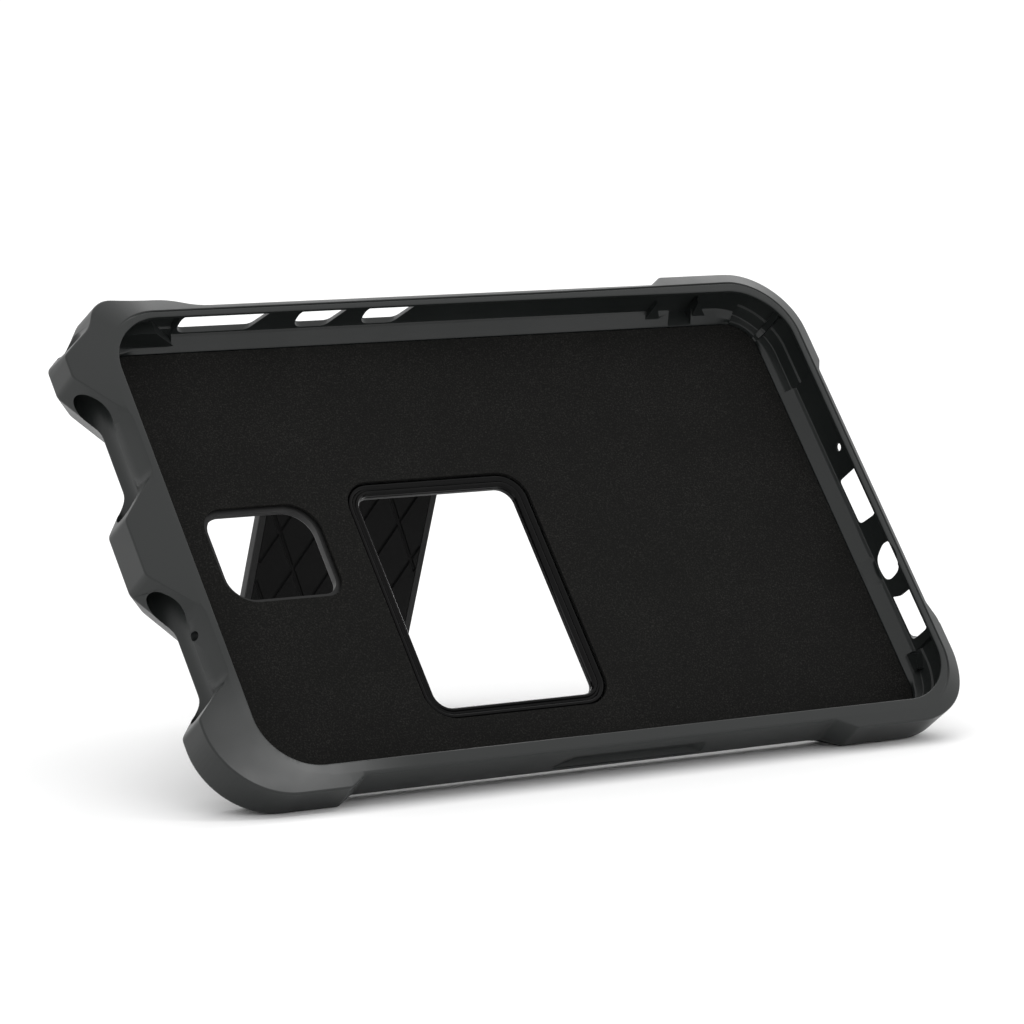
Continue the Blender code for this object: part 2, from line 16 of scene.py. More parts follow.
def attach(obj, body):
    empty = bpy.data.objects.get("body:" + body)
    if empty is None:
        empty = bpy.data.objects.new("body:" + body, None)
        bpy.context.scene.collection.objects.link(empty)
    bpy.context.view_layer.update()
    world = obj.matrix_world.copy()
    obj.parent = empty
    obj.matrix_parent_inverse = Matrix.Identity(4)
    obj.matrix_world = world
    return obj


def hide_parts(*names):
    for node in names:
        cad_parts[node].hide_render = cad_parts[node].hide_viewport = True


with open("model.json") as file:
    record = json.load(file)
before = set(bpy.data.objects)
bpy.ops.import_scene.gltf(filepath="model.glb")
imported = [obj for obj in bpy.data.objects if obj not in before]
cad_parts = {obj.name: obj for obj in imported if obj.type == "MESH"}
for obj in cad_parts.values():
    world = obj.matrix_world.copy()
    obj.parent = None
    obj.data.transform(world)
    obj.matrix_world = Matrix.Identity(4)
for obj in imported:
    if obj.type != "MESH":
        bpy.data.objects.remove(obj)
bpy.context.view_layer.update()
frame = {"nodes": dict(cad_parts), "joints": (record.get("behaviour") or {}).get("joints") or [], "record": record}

# ---------------------------------------------------------------- driving sizes (mm, degrees)
MM = 0.001
FIT_GAP = 0.3                                # clearance between pieces that touch
LEAN, STAND_OPEN = 50.84, 59.35              # slope of the tray, angle of the open stand to it
HINGE = Vector((-18.2, 56.5, -7.35))         # hinge axis in the case's flat drawing

OPENING_X, OPENING_Y, OPENING_RADIUS = 98.6, 62.3, 14.0
LIP_TOP, LIP_UNDERSIDE = 12.0, 11.05
CREASE = 2.6                                 # reach of the fine groove along the rim
SEAT_REACH, LINING_BACK = -1.2, -0.7
LEDGE_X, LEDGE_Y, LEDGE_RADIUS = 96.4, 60.1, 8.0      # edge of the lining's bed
BAND_REACH, BAND_TOP = 0.5, 2.7              # raised band round the lining
WALL_REACH, WALL_DRAFT = 0.9, 0.4
SIDE_FOOT, CHAMFER_INSET = 3.0, 6.6          # height where the side ends, run of the back chamfer
BACK_THIN, BACK_THICK = -4.4, -5.1
BULGE_Y, THIN_Y = 69.0, 65.9
PEN_X, PEN_Z, PEN_RADIUS, PEN_BORE_END = -106.9, 6.3, 3.7, -55.0

# slots for buttons in the upper wall: start, end at the top, end at the bottom
BUTTON_SLOTS = ((-75.8, -51.9, -56.1), (-42.8, -29.9, -33.9), (-23.6, -10.3, -14.3))
SLOT_LOW, SLOT_HIGH = 3.5, 10.3
# openings in the right wall, as (Y, Z) corners with their setbacks
UPPER_SOCKET = ((-6.2, 3.4, 1.6), (7.3, 3.3, 1.0), (6.6, 10.4, 0.3), (-7.4, 10.4, 1.6))
LOWER_SOCKET = ((-41.5, 3.5, 1.4), (-28.4, 3.4, 0.3), (-29.9, 6.3, 1.2), (-30.4, 10.4, 0.3),
                (-42.0, 10.4, 1.6))
JACK_SOCKET = ((-24.5, 3.6, 3.3), (-17.3, 2.9, 3.3), (-15.3, 8.0, 1.6), (-15.9, 10.4, 0.4),
               (-24.1, 10.4, 2.6))
JACK_CENTRE = (-19.7, 6.9)
VENT_PLACE, VENT_RADIUS = (14.7, 8.0), 1.05
TETHER_EYE, TETHER_EYE_RADIUS = (-23.2, 7.3), 1.15    # in the pen-side wall

WINDOW_CENTRE, WINDOW_SIZE = (-18.2, -14.2), (45.3, 60.5)
BEZEL_LOW, BEZEL_SEAT, BEZEL_SEAT_GROW = -1.7, -2.0, 3.45
CAMERA_CENTRE, CAMERA_SIZE = (-69.5, 1.75), (29.15, 24.1)    # window for the device's camera
CAMERA_RADII = (6.5, 4.0, 7.0, 5.0)          # from the lower left corner, counter-clockwise
SHELL_FRONT, SHELL_BACK, SHELL_INSET = -1.0, -3.6, 1.5

STAND_HALF = 26.0
LEG_INNER, LEG_OUTER, BARREL_RADIUS = 3.1, 0.5, 3.4
TONGUE_START, TONGUE_END = -82.3, -87.7
TONGUE_LOW, TONGUE_HIGH = 1.2, 2.4
FOOT_INNER, FOOT_OUTER = 3.3, 0.2
PAD_START, PAD_END, PAD_BORDER, PAD_DEPTH = -6.0, -78.0, 2.0, 0.9
PAD_MIDDLE, PAD_LENGTH = (PAD_START + PAD_END) / 2, PAD_START - PAD_END
PAD_GAP = 0.08
LATTICE_PITCH, LATTICE_SHIFT, LATTICE_SLOPE = 11.7, 4.2, 28.0

# the hinge from the leg's edge outward: washer, bracket, clip and the end of the pin
PIN_RADIUS, PIN_HOLE_RADIUS = 1.2, 1.5
WASHER_THICKNESS, WASHER_RADIUS = 0.5, 3.1
BRACKET_WIDTH, BRACKET_RADIUS = 6.5, 3.2
FLANGE_END, FLANGE_THICKNESS = -17.5, 2.0
CLIP_THICKNESS, CLIP_RADIUS = 0.8, 2.7
WASHER_START = STAND_HALF + FIT_GAP
BRACKET_START = WASHER_START + WASHER_THICKNESS + FIT_GAP
BRACKET_MIDDLE = BRACKET_START + BRACKET_WIDTH / 2
CLIP_START = BRACKET_START + BRACKET_WIDTH + FIT_GAP
PIN_REACH = CLIP_START + CLIP_THICKNESS + 0.4
SCREW_OFFSETS = (-7.3, -13.8)                # along Y from the hinge axis

VIEW_EYE = Vector((-593.86, -465.24, 789.46))         # the picture's camera, in the flat drawing
VIEW_RIGHT, VIEW_UP = Vector((0.8373, -0.5467, 0.0)), Vector((0.0658, 0.1007, 0.9927))
VIEW_LENS, VIEW_SENSOR = 156.0, 36.0
CRISP_ANGLE = 38.0                           # edges sharper than this stay crisp

hinge_at = Vector(frame["joints"][0]["pos_m"])
CASE = (Matrix.Translation(hinge_at) @ Matrix.Rotation(math.radians(LEAN), 4, 'X')
        @ Matrix.Translation(-HINGE * MM) @ Matrix.Scale(MM, 4))
STAND = (Matrix.Translation(hinge_at) @ Matrix.Rotation(math.radians(LEAN + STAND_OPEN), 4, 'X')
         @ Matrix.Scale(MM, 4))


# ---------------------------------------------------------------- outlines
def arc(centre, radius, start, end, steps):
    angles = [math.radians(start + (end - start) * i / steps) for i in range(steps + 1)]
    return [(centre[0] + radius * math.cos(a), centre[1] + radius * math.sin(a)) for a in angles]


def circle(centre, radius, steps=48):
    return arc(centre, radius, 0.0, 360.0, steps)[:-1]


def rounded_rectangle(centre, size, radii, steps=10):
    """Counter-clockwise outline with one radius for each corner, from the lower left one."""
    if isinstance(radii, float):
        radii = (radii,) * 4
    points = []
    for index, (side_x, side_y) in enumerate(((-1, -1), (1, -1), (1, 1), (-1, 1))):
        r = radii[index]
        corner = (centre[0] + side_x * (size[0] / 2 - r), centre[1] + side_y * (size[1] / 2 - r))
        points += arc(corner, r, 180 + 90 * index, 270 + 90 * index, steps)
    return points


def soften(corners, steps=4):
    """Round each corner (a, b, setback) of a closed outline over its setback."""
    points = []
    for k, (a, b, setback) in enumerate(corners):
        here = Vector((a, b))
        if setback <= 0.0:
            points.append((a, b))
            continue
        before = Vector(corners[k - 1][:2]) - here
        after = Vector(corners[(k + 1) % len(corners)][:2]) - here
        start = here + before.normalized() * min(setback, 0.48 * before.length)
        end = here + after.normalized() * min(setback, 0.48 * after.length)
        for step in range(steps + 1):
            t = step / steps
            point = start * (1 - t) ** 2 + here * (2 * t * (1 - t)) + end * t ** 2
            points.append((point.x, point.y))
    return points


def blend_between(low, high, value):
    """0 below low, 1 above high, smooth between."""
    t = min(max((value - low) / (high - low), 0.0), 1.0)
    return t * t * (3 - 2 * t)


def outer_outline(level, rounding):
    """The case seen from the front: bulges at the corners and halfway along the pen side."""
    right, thin_right, lobe, groove = level["right"], level["thin_right"], level["lobe"], level["groove"]
    bottom, thin_bottom, top, thin_top = level["across"]
    first_end, second_start, second_top, second_end, corner_start = level["slopes"]
    lower_radius, upper_radius, pen_radius = level["radii"]

    def rounded(points, setback=rounding):
        return [(x, y, setback) for x, y in points]

    def corner(centre_x, centre_y, radius, start):
        return rounded(arc((centre_x, centre_y), radius, start, start + 90, 24), 0.0)

    points = rounded([(-80.0, -bottom - 0.4), (-75.5, -thin_bottom - 0.3), (59.5, -thin_bottom)])
    points += rounded([(65.0, -bottom)])
    points += corner(right - lower_radius, lower_radius - bottom, lower_radius, -90)
    points += rounded([(right, -40.0), (thin_right, -35.0), (thin_right, 37.0), (right, 40.5)])
    points += corner(right - upper_radius, top - upper_radius, upper_radius, 0)
    points += rounded([(66.5, top), (62.0, thin_top)])
    points += rounded([(-72.0, thin_top + 0.3), (-78.5, top + 0.2)], 4.0)
    points += rounded(level["shoulder"], 2.2)
    points += rounded([(lobe, level["shoulder"][-1][1] - 2.9), (lobe, 46.9)], 1.0)
    points += rounded([(groove, first_end), (groove, second_start)], 2.0)
    points += rounded([(lobe, second_top), (lobe, -8.5)], 1.0)
    points += rounded([(groove, second_end), (groove, corner_start)], 2.0)
    points += rounded([(lobe, -47.2)], 1.0)
    points += corner(lobe + pen_radius, pen_radius - bottom - 0.4, pen_radius, 180)
    return soften(points, 4)


RIDGE = {
    "right": 105.35, "thin_right": 103.05, "lobe": -112.3, "groove": -100.8,
    "across": (68.6, 65.8, 68.9, 65.8), "slopes": (35.8, 19.2, 6.8, -18.4, -36.7),
    "radii": (20.0, 17.4, 19.0),
    "shoulder": ((-96.3, 69.0), (-100.4, 66.4), (-102.9, 61.0), (-109.0, 56.0))}
FOOT = {
    "right": 104.2, "thin_right": 102.0, "lobe": -112.95, "groove": -104.9,
    "across": (68.6, 66.05, 69.0, 65.95), "slopes": (36.6, 17.8, 7.5, -19.3, -38.3),
    "radii": (20.2, 17.4, 18.5),
    "shoulder": ((-95.5, 69.3), (-100.2, 68.0), (-105.8, 60.6), (-109.8, 57.6))}
RIDGE_OUTLINE = outer_outline(RIDGE, 0.6)
FOOT_OUTLINE = outer_outline(FOOT, 0.6)
LEDGE_OUTLINE = rounded_rectangle((0.0, 0.0), (2 * LEDGE_X, 2 * LEDGE_Y), LEDGE_RADIUS, 16)


def reach_to(outline, base, normal):
    """Distance from base along normal to the far side of the outline."""
    best = 0.0
    for (ax, ay), (bx, by) in zip(outline, outline[1:] + outline[:1]):
        ex, ey = bx - ax, by - ay
        across = normal[0] * ey - normal[1] * ex
        if abs(across) < 1e-9:
            continue
        along = ((ax - base[0]) * ey - (ay - base[1]) * ex) / across
        share = ((ax - base[0]) * normal[1] - (ay - base[1]) * normal[0]) / across
        if -1e-6 <= share <= 1 + 1e-6:
            best = max(best, along)
    return best


# ---------------------------------------------------------------- stations round the opening
def opening_place(turn):
    """Point and outward normal on the opening's edge; turn counts its sides and corners, 0 to 8."""
    straight_x, straight_y = OPENING_X - OPENING_RADIUS, OPENING_Y - OPENING_RADIUS
    part, share = int(turn) % 8, turn - int(turn)
    side = part // 2
    corners = ((1, -1), (1, 1), (-1, 1), (-1, -1))
    if part % 2 == 0:
        nx, ny = ((0, -1), (1, 0), (0, 1), (-1, 0))[side]
        start, end = corners[side - 1], corners[side]
        sx = start[0] + (end[0] - start[0]) * share
        sy = start[1] + (end[1] - start[1]) * share
        return (straight_x * sx + OPENING_RADIUS * nx, straight_y * sy + OPENING_RADIUS * ny), (nx, ny)
    angle = math.radians(-90 + 90 * side + 90 * share)
    nx, ny = math.cos(angle), math.sin(angle)
    cx, cy = corners[side]
    return (straight_x * cx + OPENING_RADIUS * nx, straight_y * cy + OPENING_RADIUS * ny), (nx, ny)


def turn_of(x, y):
    """The turn whose normal line passes through a point outside the opening."""
    straight_x, straight_y = OPENING_X - OPENING_RADIUS, OPENING_Y - OPENING_RADIUS
    if abs(x) <= straight_x:
        share = (x + straight_x) / (2 * straight_x)
        return share if y < 0 else 5 - share
    if abs(y) <= straight_y:
        share = (y + straight_y) / (2 * straight_y)
        return 2 + share if x > 0 else 7 - share
    cx, cy = math.copysign(straight_x, x), math.copysign(straight_y, y)
    quarter = (math.degrees(math.atan2(y - cy, x - cx)) + 90) % 360 / 90
    return 2 * int(quarter) + 1 + quarter - int(quarter)


POCKETS = ((0.985, 1.45), (1.55, 2.04), (2.885, 3.28), (3.35, 3.72), (4.955, 5.45), (5.55, 6.05),
           (6.96, 7.45), (7.55, 8.0))
POCKET_EDGE = 0.003


def stations():
    """Every turn at which the section of the frame is drawn."""
    turns = [side + step / 24 for side in (1, 3, 5, 7) for step in range(25)]
    turns += [side + step / 40 for side in (0, 4) for step in range(40)]
    turns += [side + step / 24 for side in (2, 6) for step in range(24)]
    turns += [turn_of(x, y) for x, y in RIDGE_OUTLINE + FOOT_OUTLINE]
    for start, end in POCKETS:
        turns += [start - POCKET_EDGE, start + POCKET_EDGE, end - POCKET_EDGE, end + POCKET_EDGE]
    kept = []
    for turn in sorted(t % 8 for t in turns):
        if not kept or turn - kept[-1] > 0.0012:
            kept.append(turn)
    return kept


def frame_section(turn):
    """(reach, height) of the frame's closed section at one station, every corner eased."""
    base, normal = opening_place(turn)
    ridge, foot = reach_to(RIDGE_OUTLINE, base, normal), reach_to(FOOT_OUTLINE, base, normal)
    thick = min(max((foot - 3.7) / 2.5, 0.0), 1.0)
    back = BACK_THIN + (BACK_THICK - BACK_THIN) * thick
    chamfer = max(foot - CHAMFER_INSET, -0.2)
    if normal[1] < -0.3:
        chamfer = min(chamfer, (CHAMFER_INSET - BULGE_Y - base[1]) / normal[1])
    # the bottom wall's outer edge is rounded away in its middle
    soft = blend_between(0.09, 0.30, turn) * (1 - blend_between(0.835, 0.86, turn))
    # the right and upper walls slope away behind a fine crease, the others stay flat
    sloped = blend_between(1.25, 1.9, turn) * (1 - blend_between(4.95, 5.5, turn))
    # the right and upper walls bow out a little
    give = 0.8 * blend_between(1.3, 2.05, turn) * (1 - blend_between(2.95, 3.7, turn))
    give += 0.4 * blend_between(3.9, 4.5, turn) * (1 - blend_between(4.9, 5.5, turn))
    crease = min(CREASE - 0.1 * give - 0.5 * blend_between(3.9, 4.4, turn), ridge - 0.7)
    step_in = 13.0
    inside = (base[0] - step_in * normal[0], base[1] - step_in * normal[1])
    bed = reach_to(LEDGE_OUTLINE, inside, normal) - step_in
    skirt = max(-0.85, bed + 0.5)
    ridge_top = LIP_TOP - 0.12 - 0.42 * sloped * max(ridge - CREASE, 0.0)
    groove = 0.45 * sloped
    # between the lobes the rim falls away in one long curve
    hollow = 1 - min(abs(foot - 6.3) / 1.2, 1.0) if 6 < turn < 7 else 0.0
    ease = 0.45 + 2.4 * soft + 3.0 * hollow
    pocket = any(start < turn % 8 < end for start, end in POCKETS)
    if pocket:
        wall = [(skirt - 0.4, 0.9, 0.1), (skirt, 1.05, 0.1), (1.25, 1.5, 0.2), (1.8, 4.7, 0.12),
                (2.25, 4.9, 0.12), (3.1, LIP_UNDERSIDE, 0.4)]
    else:
        outward = 0.75 * give
        wall = [(bed + 0.3, 0.35, 0.1), (skirt, 1.35, 0.1), (max(BAND_REACH, skirt + 0.3), BAND_TOP, 0.2),
                (WALL_REACH + outward, BAND_TOP + 0.3, 0.2), (1.1 + outward, 6.0, 0.1),
                (WALL_REACH + WALL_DRAFT + outward, LIP_UNDERSIDE, 0.3)]
    corners = [
        (give, LIP_UNDERSIDE, 0.2), (give, LIP_TOP, 0.35),
        (crease - 0.3, LIP_TOP, 0.08), (crease, LIP_TOP - groove, 0.08),
        (crease + 0.3, LIP_TOP - 0.04 * sloped, 0.1),
        (ridge, ridge_top, ease), (foot, SIDE_FOOT, 0.4), (chamfer, back, 0.9),
        (SEAT_REACH, back, 0.3), (SEAT_REACH, LINING_BACK, 0.0), (bed, LINING_BACK, 0.0),
        (bed, 0.0, 0.12)]
    return soften(corners + wall, 3)


# ---------------------------------------------------------------- mesh helpers
def smooth_again(made, crisp=CRISP_ANGLE):
    """Shade a piece smooth, with its sharper edges crisp."""
    made.data.shade_smooth()
    made.data.set_sharp_from_angle(angle=math.radians(crisp))


def finish_mesh(bm, name, place, look=None):
    """Turn a bmesh into a smooth-shaded object, its points carried into the frame by a matrix."""
    bmesh.ops.transform(bm, matrix=place, verts=bm.verts)
    bmesh.ops.recalc_face_normals(bm, faces=bm.faces)
    mesh = bpy.data.meshes.new(name)
    bm.to_mesh(mesh)
    bm.free()
    made = bpy.data.objects.new(name, mesh)
    bpy.context.scene.collection.objects.link(made)
    smooth_again(made)
    if look:
        mesh.materials.append(look)
    return made


def weighted(made):
    """Flat faces keep flat shading beside small fillets."""
    step = made.modifiers.new("flat_faces", 'WEIGHTED_NORMAL')
    step.weight = 80
    step.keep_sharp = True
    return made


def belongs(made, body, slot_name, *nodes):
    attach(made, body)
    if nodes:
        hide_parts(*nodes)
    return made


def add_loft(bm, sections, closed=True):
    """Skin rings of equal length, end to start when closed, else with a cap on each end."""
    rings = [[bm.verts.new(point) for point in section] for section in sections]
    ends = rings[1:] + rings[:1] if closed else rings[1:]
    for here, there in zip(rings, ends):
        for k in range(len(here)):
            after = (k + 1) % len(here)
            bm.faces.new((here[k], there[k], there[after], here[after]))
    if not closed:
        bm.faces.new(rings[0])
        bm.faces.new(rings[-1])


def along_x(points, x):
    return [(x, y, z) for y, z in points]


def along_y(points, y):
    return [(x, y, z) for x, z in points]


def along_z(points, z):
    return [(x, y, z) for x, y in points]


def add_plate(bm, outline, low, high, holes=()):
    """A flat plate between two heights, with any number of holes through it."""
    edges = []
    for loop in (outline, *holes):
        verts = [bm.verts.new((x, y, low)) for x, y in loop]
        edges += [bm.edges.new((a, b)) for a, b in zip(verts, verts[1:] + verts[:1])]
    filled = bmesh.ops.triangle_fill(bm, edges=edges, use_beauty=True)
    faces = [item for item in filled["geom"] if isinstance(item, bmesh.types.BMFace)]
    raised = bmesh.ops.extrude_face_region(bm, geom=faces)
    tops = [item for item in raised["geom"] if isinstance(item, bmesh.types.BMVert)]
    bmesh.ops.translate(bm, vec=(0.0, 0.0, high - low), verts=tops)


def grown(points, centre, amount):
    """Push an outline's points away from its centre."""
    result = []
    for a, b in points:
        way = Vector((a - centre[0], b - centre[1]))
        way = way + way.normalized() * amount
        result.append((centre[0] + way.x, centre[1] + way.y))
    return result


def apply_cut(target, cutter, operation='DIFFERENCE'):
    """Run one Boolean and drop the cutter."""
    step = target.modifiers.new("cut", 'BOOLEAN')
    step.operation = operation
    step.solver = 'EXACT'
    step.object = cutter
    depsgraph = bpy.context.evaluated_depsgraph_get()
    result = bpy.data.meshes.new_from_object(target.evaluated_get(depsgraph))
    target.modifiers.clear()
    old = target.data
    target.data = result
    bpy.data.meshes.remove(old)
    bpy.data.objects.remove(cutter)


def eased_ends(outline, start, end, bevel, steps=3):
    """(outline, position) pairs of a bar whose two ends are rounded over by bevel."""
    rings = []
    for step in range(steps + 1):
        angle = math.radians(90 * step / steps)
        ring = shrunk(outline, bevel * (1 - math.sin(angle)))
        rings.append((ring, bevel * (1 - math.cos(angle))))
    low = [(ring, start + rise) for ring, rise in rings]
    high = [(ring, end - rise) for ring, rise in reversed(rings)]
    return low + high


def shrunk(outline, amount):
    """Move every side of a closed outline inward by an amount."""
    area = sum(a * d - b * c for (a, b), (c, d) in zip(outline, outline[1:] + outline[:1]))
    turn = 1.0 if area > 0 else -1.0
    result = []
    for k, (a, b) in enumerate(outline):
        before = (Vector((a, b)) - Vector(outline[k - 1])).normalized()
        after = (Vector(outline[(k + 1) % len(outline)]) - Vector((a, b))).normalized()
        way = Vector((-before.y - after.y, before.x + after.x)) * turn
        reach = way.normalized() / max(way.length / 2, 0.4)
        result.append((a + reach.x * amount, b + reach.y * amount))
    return result


def bar(name, outline, start, end, bevel, along, place, look):
    """A bar drawn out along an axis, its ends eased over by bevel."""
    bm = bmesh.new()
    rings = eased_ends(outline, start, end, bevel)
    add_loft(bm, [along(ring, at) for ring, at in rings], closed=False)
    return finish_mesh(bm, name, place, look)


def tube(name, outline, start, end, along, place):
    """A straight cutter along an axis."""
    bm = bmesh.new()
    add_loft(bm, [along(outline, at) for at in (start, end)], closed=False)
    return finish_mesh(bm, name, place)


# ---------------------------------------------------------------- materials
def node(tree, kind, **inputs):
    made = tree.nodes.new(kind)
    for key, value in inputs.items():
        made.inputs[key.replace("_", " ")].default_value = value
    return made


def moulded(name, colour, roughness, grain=0.0002, bump=0.15, spread=0.12, specular=0.5):
    """Moulded rubber or plastic: fine grain in the surface and slow drifts of tone and gloss."""
    made = bpy.data.materials.new(name)
    made.use_nodes = True
    tree = made.node_tree
    shader = tree.nodes["Principled BSDF"]
    shader.inputs["Specular IOR Level"].default_value = specular
    where = tree.nodes.new("ShaderNodeTexCoord").outputs["Object"]
    fine = node(tree, "ShaderNodeTexNoise", Scale=1.0 / grain, Detail=2.0, Roughness=0.6)
    slow = node(tree, "ShaderNodeTexNoise", Scale=45.0, Detail=3.0, Roughness=0.5)
    for texture in (fine, slow):
        tree.links.new(where, texture.inputs["Vector"])
    tone = tree.nodes.new("ShaderNodeMapRange")
    tone.inputs["From Min"].default_value, tone.inputs["From Max"].default_value = 0.3, 0.7
    tone.inputs["To Min"].default_value = 1.0 - spread
    tone.inputs["To Max"].default_value = 1.0 + spread
    mixed = tree.nodes.new("ShaderNodeMath")
    mixed.operation = 'MULTIPLY_ADD'
    mixed.inputs[1].default_value = 0.5
    half = tree.nodes.new("ShaderNodeMath")
    half.operation = 'MULTIPLY'
    half.inputs[1].default_value = 0.5
    tree.links.new(slow.outputs["Fac"], half.inputs[0])
    tree.links.new(fine.outputs["Fac"], mixed.inputs[0])
    tree.links.new(half.outputs[0], mixed.inputs[2])
    tree.links.new(mixed.outputs[0], tone.inputs["Value"])
    tint = tree.nodes.new("ShaderNodeVectorMath")
    tint.operation = 'SCALE'
    tint.inputs[0].default_value = colour
    tree.links.new(tone.outputs[0], tint.inputs["Scale"])
    tree.links.new(tint.outputs["Vector"], shader.inputs["Base Color"])
    gloss = tree.nodes.new("ShaderNodeMapRange")
    gloss.inputs["From Min"].default_value, gloss.inputs["From Max"].default_value = 0.3, 0.7
    gloss.inputs["To Min"].default_value = roughness - 0.06
    gloss.inputs["To Max"].default_value = roughness + 0.06
    tree.links.new(slow.outputs["Fac"], gloss.inputs["Value"])
    tree.links.new(gloss.outputs[0], shader.inputs["Roughness"])
    rough = node(tree, "ShaderNodeBump", Strength=bump, Distance=grain * 0.4)
    tree.links.new(fine.outputs["Fac"], rough.inputs["Height"])
    tree.links.new(rough.outputs["Normal"], shader.inputs["Normal"])
    return made


def speckled(name, dark, light):
    """Short black nap with lighter and warmer flecks."""
    made = bpy.data.materials.new(name)
    made.use_nodes = True
    tree = made.node_tree
    shader = tree.nodes["Principled BSDF"]
    shader.inputs["Roughness"].default_value = 0.85
    shader.inputs["Specular IOR Level"].default_value = 0.05
    where = tree.nodes.new("ShaderNodeTexCoord").outputs["Object"]
    grains = node(tree, "ShaderNodeTexNoise", Scale=2600.0, Detail=2.0, Roughness=0.7)
    patches = node(tree, "ShaderNodeTexNoise", Scale=60.0, Detail=3.0, Roughness=0.5)
    for texture in (grains, patches):
        tree.links.new(where, texture.inputs["Vector"])
    total = tree.nodes.new("ShaderNodeMath")
    total.operation = 'MULTIPLY_ADD'
    total.inputs[1].default_value = 0.12
    tree.links.new(patches.outputs["Fac"], total.inputs[0])
    tree.links.new(grains.outputs["Fac"], total.inputs[2])
    ramp = tree.nodes.new("ShaderNodeValToRGB")
    stops = ramp.color_ramp.elements
    stops[0].position, stops[0].color = 0.56, (*dark, 1.0)
    stops[1].position, stops[1].color = 0.80, (*light, 1.0)
    tree.links.new(total.outputs[0], ramp.inputs["Fac"])
    tree.links.new(ramp.outputs["Color"], shader.inputs["Base Color"])
    nap = node(tree, "ShaderNodeBump", Strength=0.5, Distance=0.00015)
    tree.links.new(grains.outputs["Fac"], nap.inputs["Height"])
    tree.links.new(nap.outputs["Normal"], shader.inputs["Normal"])
    return made


def metal(name, colour, roughness, stretch=(1.0, 40.0, 40.0)):
    """Turned or drawn metal with fine lines along the hinge axis."""
    made = bpy.data.materials.new(name)
    made.use_nodes = True
    tree = made.node_tree
    shader = tree.nodes["Principled BSDF"]
    shader.inputs["Base Color"].default_value = (*colour, 1.0)
    shader.inputs["Metallic"].default_value = 1.0
    where = tree.nodes.new("ShaderNodeTexCoord").outputs["Object"]
    scaled = tree.nodes.new("ShaderNodeMapping")
    scaled.inputs["Scale"].default_value = stretch
    lines = node(tree, "ShaderNodeTexNoise", Scale=120.0, Detail=3.0)
    tree.links.new(where, scaled.inputs["Vector"])
    tree.links.new(scaled.outputs["Vector"], lines.inputs["Vector"])
    spread = tree.nodes.new("ShaderNodeMapRange")
    spread.inputs["To Min"].default_value = roughness - 0.1
    spread.inputs["To Max"].default_value = roughness + 0.15
    tree.links.new(lines.outputs["Fac"], spread.inputs["Value"])
    tree.links.new(spread.outputs[0], shader.inputs["Roughness"])
    return made


LOOKS = {
    "bumper_rubber": moulded("bumper_rubber", (0.0095, 0.0112, 0.0108), 0.40, spread=0.10, specular=0.40),
    "shell_plastic": moulded("shell_plastic", (0.007, 0.007, 0.007), 0.45, bump=0.25, specular=0.3),
    "lining_cloth": speckled("lining_cloth", (0.0084, 0.0084, 0.0080), (0.0255, 0.0250, 0.0232)),
    "bezel_gloss": moulded("bezel_gloss", (0.0022, 0.0022, 0.0022), 0.14, bump=0.02, specular=0.10),
    "stand_plastic": moulded("stand_plastic", (0.008, 0.008, 0.008), 0.45, bump=0.2, specular=0.35),
    "grip_pad": moulded("grip_pad", (0.006, 0.006, 0.006), 0.5, bump=0.2, specular=0.10),
    "foot_rubber": moulded("foot_rubber", (0.010, 0.010, 0.010), 0.75, bump=0.3, specular=0.25),
    "bright_steel": metal("bright_steel", (0.56, 0.56, 0.57), 0.3),
    "black_steel": metal("black_steel", (0.05, 0.05, 0.055), 0.4),
    "brass": metal("brass", (0.60, 0.42, 0.16), 0.3),
}


# ---------------------------------------------------------------- the soft frame
def swept(outline, shift):
    """Outline of a closed shape dragged along a shift."""
    result = []
    for k, (a, b) in enumerate(outline):
        before, after = Vector(outline[k - 1]), Vector(outline[(k + 1) % len(outline)])
        along = after - before
        facing = along.y * shift[0] - along.x * shift[1]
        result.append((a + shift[0], b + shift[1]) if facing > 0 else (a, b))
    return result


def add_slot(bm, start, end_top, end_low):
    """Button slot through the top wall: round at one end, slanted at the other, relieved outside."""
    def outline(extra):
        return soften([(start, SLOT_LOW, 3.0), (end_low + extra, SLOT_LOW, 1.5),
                       (end_top + extra, SLOT_HIGH, 0.5), (start, SLOT_HIGH, 3.0)], 8)

    web = OPENING_Y + 2.9
    rings = [(OPENING_Y - 2.5, outline(0.0)), (OPENING_Y + 0.9, outline(0.2)), (web, outline(1.9))]
    for depth in (1.3, 5.0):
        rings.append((web + depth, swept(outline(1.9), (1.3 * depth, -1.7 * min(depth, 2.0)))))
    add_loft(bm, [along_y(ring, y) for y, ring in rings], closed=False)


def add_port(bm, outline, depth_of_web=0.0):
    """Opening through the right wall, flaring towards the upper wall and the back on its way out."""
    web = OPENING_X + 1.75 + depth_of_web
    rings = [(OPENING_X - 1.0, outline), (web, outline)]
    for depth in (1.5, 6.0):
        rings.append((web + depth, swept(outline, (0.85 * depth, -1.4 * min(depth, 2.5)))))
    add_loft(bm, [along_x(ring, x) for x, ring in rings], closed=False)


